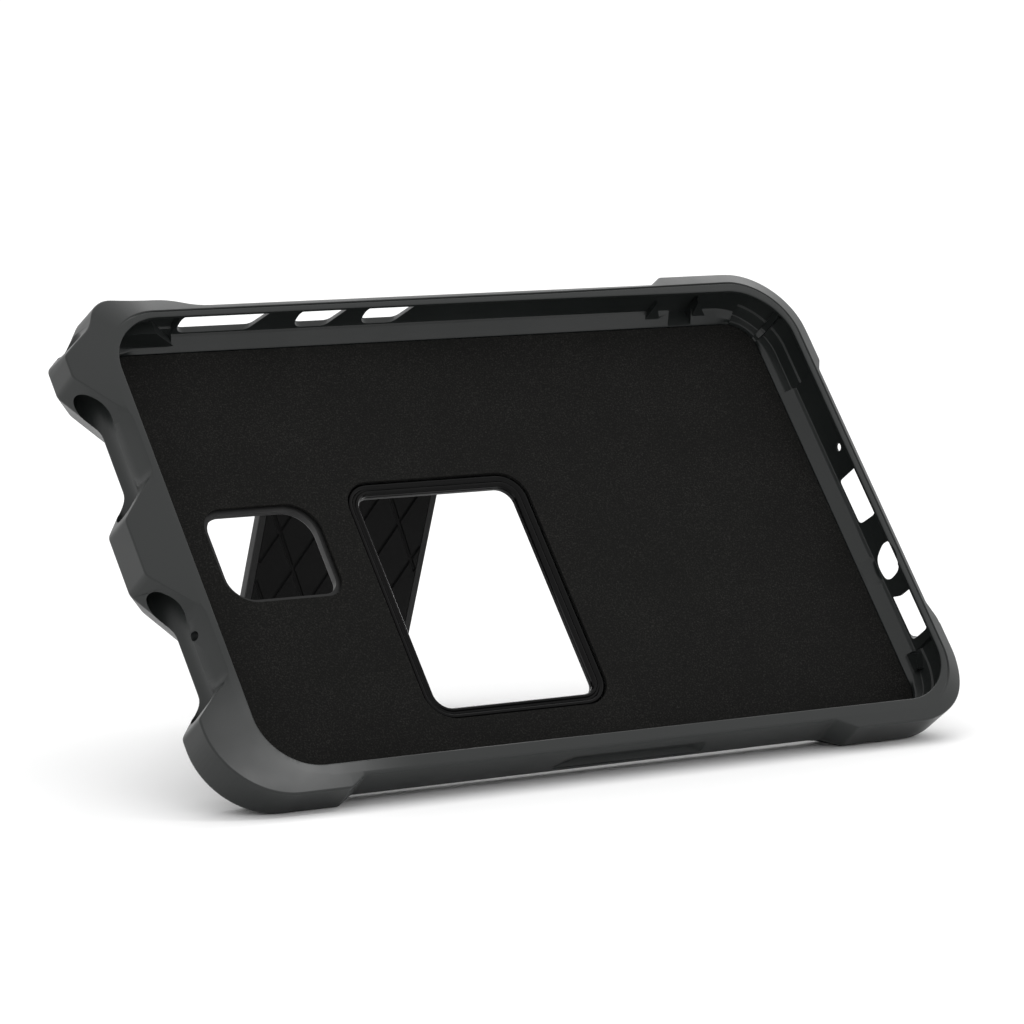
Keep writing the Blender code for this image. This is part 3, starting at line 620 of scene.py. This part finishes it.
def frame_openings():
    """Slots, sockets, vent and tether eye through the walls, and a notch in the band, as one cutter."""
    bm = bmesh.new()
    for slot in BUTTON_SLOTS:
        add_slot(bm, *slot)
    add_port(bm, soften(UPPER_SOCKET, 5))
    add_port(bm, soften(LOWER_SOCKET, 5))
    add_port(bm, soften(JACK_SOCKET, 8))
    add_port(bm, circle(VENT_PLACE, VENT_RADIUS, 20), 0.65)
    eye = circle(TETHER_EYE, TETHER_EYE_RADIUS, 24)
    add_loft(bm, [along_x(eye, x) for x in (-OPENING_X - 9, -OPENING_X + 2)], closed=False)
    # the notch lies in the upper wall, beside its right corner
    notch = soften([(70.8, 0.15, 0.2), (78.1, 0.15, 0.2), (77.8, 8.6, 0.6), (71.2, 8.6, 0.6)], 3)
    add_loft(bm, [along_y(notch, y) for y in (59.9, 64.6)], closed=False)
    return finish_mesh(bm, "openings", CASE)


def jack_relief():
    """Shallow cone that lets a plug's collar sink into the band."""
    bm = bmesh.new()
    rings = ((7.4, -2.0), (5.6, 0.9), (4.9, 1.4))
    add_loft(bm, [along_x(circle(JACK_CENTRE, radius), OPENING_X + reach) for radius, reach in rings],
             closed=False)
    return finish_mesh(bm, "jack_relief", CASE)


def scoop():
    """Shallow dish in the bottom wall, steeper at its right end."""
    bm = bmesh.new()
    face = -THIN_Y
    dish = soften([(-21.5, 4.0, 2.0), (22.6, 3.8, 1.2), (22.2, 8.7, 1.6), (-17.0, 8.7, 3.0)], 4)
    floor = soften([(-15.5, 5.0, 1.0), (20.0, 5.0, 0.8), (20.6, 7.9, 0.8), (-13.0, 7.9, 1.0)], 4)
    add_loft(bm, [along_y(grown(dish, (0.0, 6.2), 0.4), face - 0.6), along_y(dish, face),
                  along_y(floor, face + 1.0)], closed=False)
    return finish_mesh(bm, "scoop", CASE)


def pen_bore():
    ring = circle((PEN_X, PEN_Z), PEN_RADIUS, 64)
    return tube("pen_bore", ring, PEN_BORE_END, BULGE_Y + 4, along_y, CASE)


def add_gusset(bm, left, right, peak, low, high):
    """Small triangular rib on the top wall, its point at the top."""
    face = [(left, 61.8, low), (right, 61.8, low), (peak, 62.6, high)]
    add_loft(bm, [face, [(x, 66.0, z) for x, _, z in face]], closed=False)


def gussets():
    """Small ribs and blocks inside the top wall and the lower right corner."""
    bm = bmesh.new()
    add_gusset(bm, 63.6, 68.2, 64.6, 1.2, 7.6)
    add_gusset(bm, 78.6, 83.0, 77.2, 1.2, 7.9)
    block = soften([(-96.0, 0.9, 0.2), (-75.4, 0.9, 0.2), (-83.0, 7.0, 0.2), (-96.0, 7.2, 0.2)], 2)
    add_loft(bm, [along_y(block, y) for y in (61.3, 65.2)], closed=False)
    clip = [(-44.0, 1.4), (-46.0, 4.4), (-49.5, 3.0), (-49.0, 1.2)]
    add_loft(bm, [along_x(clip, x) for x in (98.4, 101.6)], closed=False)
    return finish_mesh(bm, "gussets", CASE)


def make_bumper():
    bm = bmesh.new()
    sections = []
    for turn in stations():
        (x, y), (nx, ny) = opening_place(turn)
        sections.append([(x + nx * reach, y + ny * reach, z) for reach, z in frame_section(turn)])
    add_loft(bm, sections)
    bumper = finish_mesh(bm, "bumper", CASE, LOOKS["bumper_rubber"])
    apply_cut(bumper, gussets(), 'UNION')
    for cutter in (jack_relief(), frame_openings(), pen_bore(), scoop()):
        apply_cut(bumper, cutter)
    smooth_again(bumper)
    return belongs(weighted(bumper), "case", "bumper_rubber", "bumper_frame")


# ---------------------------------------------------------------- shell and bezel
def window_outline(grow=0.0, radius=4.0):
    size = (WINDOW_SIZE[0] + 2 * grow, WINDOW_SIZE[1] + 2 * grow)
    return rounded_rectangle(WINDOW_CENTRE, size, radius + grow)


def camera_outline(grow=0.0):
    size = (CAMERA_SIZE[0] + 2 * grow, CAMERA_SIZE[1] + 2 * grow)
    return rounded_rectangle(CAMERA_CENTRE, size, tuple(r + grow for r in CAMERA_RADII))


def make_bezel():
    """A ring with two raised beads and an eased inner edge, swept round the window."""
    section = [(0.0, BEZEL_LOW, 0.0), (0.0, -1.05, 0.15), (0.25, -0.75, 0.12), (0.45, -0.45, 0.15),
               (0.95, -0.40, 0.2), (1.25, -0.85, 0.15), (1.65, -0.95, 0.1), (1.95, -0.60, 0.15),
               (2.25, -0.35, 0.2), (2.75, -0.40, 0.2), (3.15, -0.85, 0.15), (3.15, BEZEL_LOW, 0.0)]
    section = soften(section, 3)
    bm = bmesh.new()
    add_loft(bm, [along_z(window_outline(grow), z) for grow, z in section])
    bezel = finish_mesh(bm, "bezel", CASE, LOOKS["bezel_gloss"])
    return belongs(weighted(bezel), "case", "bezel_gloss", "window_bezel")


def window_cut(outline, ease, front):
    """Opening through the shell: straight at the front, eased at the back edge."""
    rings = [(outline(ease + 0.6), SHELL_BACK - 0.6), (outline(ease), SHELL_BACK),
             (outline(ease * 0.35), SHELL_BACK + ease * 0.35), (outline(0.0), SHELL_BACK + ease),
             (outline(0.0), front)]
    bm = bmesh.new()
    add_loft(bm, [along_z(ring, z) for ring, z in rings], closed=False)
    return finish_mesh(bm, "window_cut", CASE)


def make_lining():
    """The cloth bed, cut out round both windows."""
    bm = bmesh.new()
    outline = rounded_rectangle((0.0, 0.0), (2 * LEDGE_X - 0.6, 2 * LEDGE_Y - 0.6), LEDGE_RADIUS - 0.3, 16)
    add_plate(bm, outline, LINING_BACK, 0.0, (window_outline(BEZEL_SEAT_GROW), camera_outline(1.2)))
    lining = finish_mesh(bm, "lining", CASE, LOOKS["lining_cloth"])
    return belongs(lining, "case", "lining_cloth", "floor_lining")


def screw_places():
    return [(HINGE.x + side * BRACKET_MIDDLE, HINGE.y + offset)
            for side in (-1, 1) for offset in SCREW_OFFSETS]


def make_shell():
    """The hard back plate with both windows, a recessed field and raised bars on its back."""
    size = (2 * (OPENING_X - SHELL_INSET), 2 * (OPENING_Y - SHELL_INSET))
    outline = rounded_rectangle((0.0, 0.0), size, OPENING_RADIUS - SHELL_INSET, 16)
    shell = bar("shell", outline, SHELL_BACK, SHELL_FRONT, 0.4, along_z, CASE, LOOKS["shell_plastic"])
    # shallow field on the back that leaves bars, and lands round the windows and under the brackets
    field = rounded_rectangle((0.0, 0.0), (size[0] - 10.0, size[1] - 10.0), OPENING_RADIUS - 6.0, 12)
    lands = [rounded_rectangle(WINDOW_CENTRE, (WINDOW_SIZE[0] + 7, WINDOW_SIZE[1] + 7), 7.5, 8),
             rounded_rectangle(CAMERA_CENTRE, (CAMERA_SIZE[0] + 6, CAMERA_SIZE[1] + 6), 8.0, 8)]
    lands += [rounded_rectangle((HINGE.x + side * BRACKET_MIDDLE, HINGE.y - 10.6), (9.0, 17.0), 1.5, 6)
              for side in (-1, 1)]
    for x in (26.0, 36.0, 46.0, 56.0, 66.0, 76.0):
        lands.append(rounded_rectangle((x, -4.0), (4.0, 88.0), 1.9, 6))
    bm = bmesh.new()
    add_plate(bm, field, SHELL_BACK - 1.0, SHELL_BACK + 0.4, lands)
    apply_cut(shell, finish_mesh(bm, "field", CASE))
    apply_cut(shell, window_cut(window_outline, 0.8, 1.0))
    apply_cut(shell, window_cut(camera_outline, 0.9, 1.0))
    seat = bmesh.new()
    add_plate(seat, window_outline(BEZEL_SEAT_GROW), BEZEL_SEAT, 1.0)
    apply_cut(shell, finish_mesh(seat, "seat", CASE))
    for place in screw_places():
        apply_cut(shell, tube("insert_hole", circle(place, 2.0, 32), -5.0, 1.0, along_z, CASE))
    smooth_again(shell)
    return belongs(weighted(shell), "case", "shell_plastic", "rear_shell")


# ---------------------------------------------------------------- stand
def leg_profile():
    """The leg from the side: hinge barrel, plate and the tongue that the sole grips."""
    start = -180 - math.degrees(math.asin(LEG_OUTER / BARREL_RADIUS))
    end = 180 - math.degrees(math.asin(LEG_INNER / BARREL_RADIUS))
    profile = arc((0, 0), BARREL_RADIUS, start, end, 40)
    tongue = [(TONGUE_START, LEG_INNER), (TONGUE_START, TONGUE_HIGH), (TONGUE_END, TONGUE_HIGH),
              (TONGUE_END, TONGUE_LOW), (TONGUE_START, TONGUE_LOW), (TONGUE_START, LEG_OUTER)]
    return profile + tongue


def make_leg():
    leg = bar("leg", leg_profile(), -STAND_HALF, STAND_HALF, 0.35, along_x, STAND,
              LOOKS["stand_plastic"])
    apply_cut(leg, tube("pin_hole", circle((0, 0), PIN_HOLE_RADIUS, 32), -30.0, 30.0, along_x, STAND))
    inner = STAND_HALF - PAD_BORDER
    recess = rounded_rectangle((0.0, PAD_MIDDLE), (2 * inner, PAD_LENGTH), 1.2, 6)
    bm = bmesh.new()
    add_loft(bm, [along_z(recess, LEG_INNER - PAD_DEPTH), along_z(recess, LEG_INNER - 0.2),
                  along_z(grown(recess, (0.0, PAD_MIDDLE), 0.6), LEG_INNER + 0.5)], closed=False)
    apply_cut(leg, finish_mesh(bm, "recess", STAND))
    # shallow panels on the outer face, with ribs left between them
    bm = bmesh.new()
    for middle in (-19.5, -38.0, -56.5, -72.5):
        length = 15.5 if middle > -60 else 11.5
        panel = rounded_rectangle((0.0, middle), (42.0, length), 2.0, 6)
        add_loft(bm, [along_z(grown(panel, (0.0, middle), 0.5), LEG_OUTER - 0.3), along_z(panel, LEG_OUTER),
                      along_z(grown(panel, (0.0, middle), -0.5), LEG_OUTER + 0.6)], closed=False)
    apply_cut(leg, finish_mesh(bm, "panels", STAND))
    smooth_again(leg)
    return belongs(weighted(leg), "stand", "stand_plastic", "stand_leg")


def make_pad():
    """Thin pad in the leg's recess, its face scored with a lattice of grooves."""
    half = STAND_HALF - PAD_BORDER - PAD_GAP
    outline = rounded_rectangle((0.0, PAD_MIDDLE), (2 * half, PAD_LENGTH - 2 * PAD_GAP), 1.1, 6)
    pad = bar("pad", outline, LEG_INNER - PAD_DEPTH + FIT_GAP, LEG_INNER, 0.12, along_z, STAND,
              LOOKS["grip_pad"])
    slope = math.radians(LATTICE_SLOPE)
    for side in (-1, 1):
        bm = bmesh.new()
        along = Vector((math.sin(slope) * side, math.cos(slope)))
        sideways = Vector((along.y, -along.x))
        for k in range(-7, 8):
            centre = Vector((k * LATTICE_PITCH + LATTICE_SHIFT, PAD_MIDDLE))
            run = clipped(centre, along, half - 0.2, PAD_LENGTH / 2 - 0.5)
            if run:
                ends = [centre + along * end for end in run]
                profile = ((-0.62, LEG_INNER + 0.15), (-0.36, LEG_INNER - 0.4), (0.36, LEG_INNER - 0.4),
                           (0.62, LEG_INNER + 0.15))
                add_loft(bm, [[(at.x + sideways.x * w, at.y + sideways.y * w, z) for w, z in profile]
                              for at in ends], closed=False)
        apply_cut(pad, finish_mesh(bm, "grooves", STAND))
    smooth_again(pad, 30.0)
    return belongs(weighted(pad), "stand", "grip_pad", "stand_grip_pad")


def clipped(centre, along, half_x, half_y):
    """Stretch of a line that lies inside a rectangle about the pad's middle, as two distances."""
    low, high = -1e9, 1e9
    for at, way, limit in ((centre.x, along.x, half_x), (centre.y - PAD_MIDDLE, along.y, half_y)):
        ends = sorted(((-limit - at) / way, (limit - at) / way))
        low, high = max(low, ends[0]), min(high, ends[1])
    return (low, high) if high - low > 1.0 else None


def ground_line():
    """The ground as a * y + b * z = c in the stand's own (Y, Z)."""
    lean, turn = math.radians(LEAN), math.radians(LEAN + STAND_OPEN)
    lowest = -BULGE_Y * math.sin(lean) + SIDE_FOOT * math.cos(lean)
    hinge = HINGE.y * math.sin(lean) + HINGE.z * math.cos(lean)
    return math.sin(turn), math.cos(turn), lowest - hinge


def sole_y(z):
    a, b, c = ground_line()
    return (c - b * z) / a


def make_foot():
    """Rubber sole round the leg's tongue, cut off along the ground, with grooves in both faces."""
    start, end = TONGUE_START - FIT_GAP, TONGUE_END - FIT_GAP
    low, high = TONGUE_LOW - FIT_GAP, TONGUE_HIGH + FIT_GAP
    corners = [(start, FOOT_INNER, 0.3), (sole_y(FOOT_INNER), FOOT_INNER, 0.8),
               (sole_y(FOOT_OUTER), FOOT_OUTER, 0.8), (start, FOOT_OUTER, 0.3),
               (start, low, 0.0), (end, low, 0.0), (end, high, 0.0), (start, high, 0.0)]
    foot = bar("foot", soften(corners, 3), -STAND_HALF, STAND_HALF, 0.5, along_x, STAND,
               LOOKS["foot_rubber"])
    bm = bmesh.new()
    for step in range(16):
        x = -22.5 + 3.0 * step
        for z, way in ((FOOT_INNER, 1), (FOOT_OUTER, -1)):
            groove = [(x - 0.5, z + 0.2 * way), (x - 0.3, z - 0.35 * way), (x + 0.3, z - 0.35 * way),
                      (x + 0.5, z + 0.2 * way)]
            add_loft(bm, [along_y(groove, y) for y in (-89.5, -84.0)], closed=False)
    apply_cut(foot, finish_mesh(bm, "tread", STAND))
    return belongs(weighted(foot), "stand", "foot_rubber", "stand_foot")


# ---------------------------------------------------------------- hinge
def make_bracket(label, side):
    """A lug round the pin with a flange that two screws hold to the shell."""
    top = SHELL_BACK - FIT_GAP
    low = top - FLANGE_THICKNESS
    corners = [(HINGE.y + BRACKET_RADIUS, top, 0.0)]
    corners += [(y, z, 0.0) for y, z in arc((HINGE.y, HINGE.z), BRACKET_RADIUS, 0, -160, 24)]
    corners += [(HINGE.y - 4.6, low, 1.2), (HINGE.y + FLANGE_END, low, 0.9),
                (HINGE.y + FLANGE_END, top, 0.0)]
    start, end = sorted(HINGE.x + side * (BRACKET_START + width) for width in (0.0, BRACKET_WIDTH))
    made = bar("bracket_" + label, soften(corners, 4), start, end, 0.35, along_x, CASE,
               LOOKS["shell_plastic"])
    hole = circle((HINGE.y, HINGE.z), PIN_HOLE_RADIUS, 32)
    apply_cut(made, tube("bore", hole, start - 1, end + 1, along_x, CASE))
    for offset in SCREW_OFFSETS:
        place = (HINGE.x + side * BRACKET_MIDDLE, HINGE.y + offset)
        apply_cut(made, tube("drill", circle(place, 1.15, 24), -9.0, 0.0, along_z, CASE))
    smooth_again(made)
    return belongs(weighted(made), "case", "shell_plastic", "hinge_bracket_" + label)


def make_ring(label, start, end, outer, slot_name, node_name, gap=0.0):
    """A washer, or with a gap an open clip with two lugs, round the hinge axis."""
    start, end = sorted((start, end))
    axis = (HINGE.y, HINGE.z)
    made = bar(label, circle(axis, outer, 64), start, end, 0.12, along_x, CASE, LOOKS[slot_name])
    hole = circle(axis, PIN_HOLE_RADIUS, 32)
    apply_cut(made, tube("bore", hole, start - 1, end + 1, along_x, CASE))
    if gap:
        mouth = [(axis[0] - gap, axis[1]), (axis[0] - gap * 0.8, axis[1] - outer - 1),
                 (axis[0] + gap * 0.8, axis[1] - outer - 1), (axis[0] + gap, axis[1])]
        apply_cut(made, tube("mouth", mouth, start - 1, end + 1, along_x, CASE))
    return belongs(weighted(made), "case", slot_name, node_name)


def make_pin():
    made = bar("pin", circle((HINGE.y, HINGE.z), PIN_RADIUS, 40), HINGE.x - PIN_REACH,
               HINGE.x + PIN_REACH, 0.25, along_x, CASE, LOOKS["bright_steel"])
    return belongs(made, "case", "bright_steel", "hinge_pin")


def make_screw(number, place):
    """Low domed head with a crossed recess, on a plain shank."""
    seat = SHELL_BACK - 2 * FIT_GAP - FLANGE_THICKNESS
    profile = [(0.01, seat - 1.3), (0.9, seat - 1.27), (1.5, seat - 1.1), (1.8, seat - 0.75),
               (1.9, seat - 0.4), (1.9, seat - 0.08), (1.82, seat), (0.75, seat), (0.75, -2.1),
               (0.45, -1.8), (0.01, -1.8)]
    bm = bmesh.new()
    add_loft(bm, [along_z(circle(place, radius, 40), z) for radius, z in profile], closed=False)
    made = finish_mesh(bm, "screw_%d" % number, CASE, LOOKS["black_steel"])
    for wide, long in ((0.5, 2.1), (2.1, 0.5)):
        bm = bmesh.new()
        head = rounded_rectangle(place, (wide, long), 0.15, 3)
        add_loft(bm, [along_z(head, seat - 1.6), along_z(shrunk(head, 0.1), seat - 0.5)], closed=False)
        apply_cut(made, finish_mesh(bm, "cross", CASE))
    return belongs(weighted(made), "case", "black_steel", "bracket_screw_%d" % number)


def make_hinge():
    make_pin()
    for label, side in (("left", -1), ("right", 1)):
        make_bracket(label, side)
        inner, outer = (HINGE.x + side * (WASHER_START + t) for t in (0.0, WASHER_THICKNESS))
        make_ring("washer_" + label, inner, outer, WASHER_RADIUS, "bright_steel",
                  "friction_washer_" + label)
        inner, outer = (HINGE.x + side * (CLIP_START + t) for t in (0.0, CLIP_THICKNESS))
        make_ring("clip_" + label, inner, outer, CLIP_RADIUS, "black_steel", "pin_clip_" + label, 1.0)
    for number, place in enumerate(screw_places(), start=1):
        make_screw(number, place)


# ---------------------------------------------------------------- light, floor and camera
def make_stage():
    bm = bmesh.new()
    bmesh.ops.create_grid(bm, x_segments=1, y_segments=1, size=6.0)
    floor = finish_mesh(bm, "floor", Matrix.Identity(4))
    paint = bpy.data.materials.new("floor_paint")
    paint.use_nodes = True
    shader = paint.node_tree.nodes["Principled BSDF"]
    shader.inputs["Base Color"].default_value = (0.97, 0.97, 0.97, 1.0)
    shader.inputs["Roughness"].default_value = 0.9
    shader.inputs["Specular IOR Level"].default_value = 0.1
    floor.data.materials.append(paint)


def add_lamp(name, kind, energy, towards):
    """A lamp that shines from a direction; towards points from the object to the lamp."""
    lamp = bpy.data.lights.new(name, kind)
    lamp.energy = energy
    made = bpy.data.objects.new(name, lamp)
    made.rotation_euler = towards.to_track_quat('Z', 'Y').to_euler()
    bpy.context.scene.collection.objects.link(made)
    return made


def make_lights():
    world = bpy.data.worlds.new("studio")
    world.use_nodes = True
    world.node_tree.nodes["Background"].inputs["Color"].default_value = (1.0, 1.0, 1.0, 1.0)
    world.node_tree.nodes["Background"].inputs["Strength"].default_value = 1.10
    bpy.context.scene.world = world
    back = add_lamp("back", 'SUN', 0.75, Vector((0.5, 0.6, 0.62)))
    back.data.angle = math.radians(40)
    # a narrow beam whose reflection lands on the lower pen-side corner
    corner = CASE @ Vector((-93.0, -63.0, LIP_TOP))
    towards = 1.2 * Vector((0.497, -0.345, 0.796))
    beam = add_lamp("beam", 'SPOT', 12.0, towards)
    beam.location = corner + towards
    beam.data.spot_size, beam.data.spot_blend = math.radians(2.2), 1.0
    beam.data.shadow_soft_size = 0.012


def make_camera():
    right = VIEW_RIGHT.normalized()
    backward = right.cross(VIEW_UP).normalized()
    up = backward.cross(right)
    camera = bpy.data.objects.new("camera", bpy.data.cameras.new("camera"))
    camera.data.sensor_width = VIEW_SENSOR
    camera.data.lens = VIEW_LENS
    camera.data.clip_end = 20.0
    turned = Matrix((right, up, backward)).transposed().to_4x4()
    camera.matrix_world = Matrix.Translation(CASE @ VIEW_EYE) @ turned
    bpy.context.scene.collection.objects.link(camera)
    bpy.context.scene.camera = camera


make_bumper()
make_bezel()
make_lining()
make_shell()
make_leg()
make_pad()
make_foot()
make_hinge()
# the CAD objects wear the look of their own material slot
for name, obj in frame["nodes"].items():
    slot_name = next(p["material_slot"] for p in frame["record"]["subparts"] if p["node"] == name)
    obj.data.materials.clear()
    obj.data.materials.append(LOOKS[slot_name])
make_stage()
make_lights()
make_camera()
bpy.context.scene.view_settings.view_transform = 'Standard'
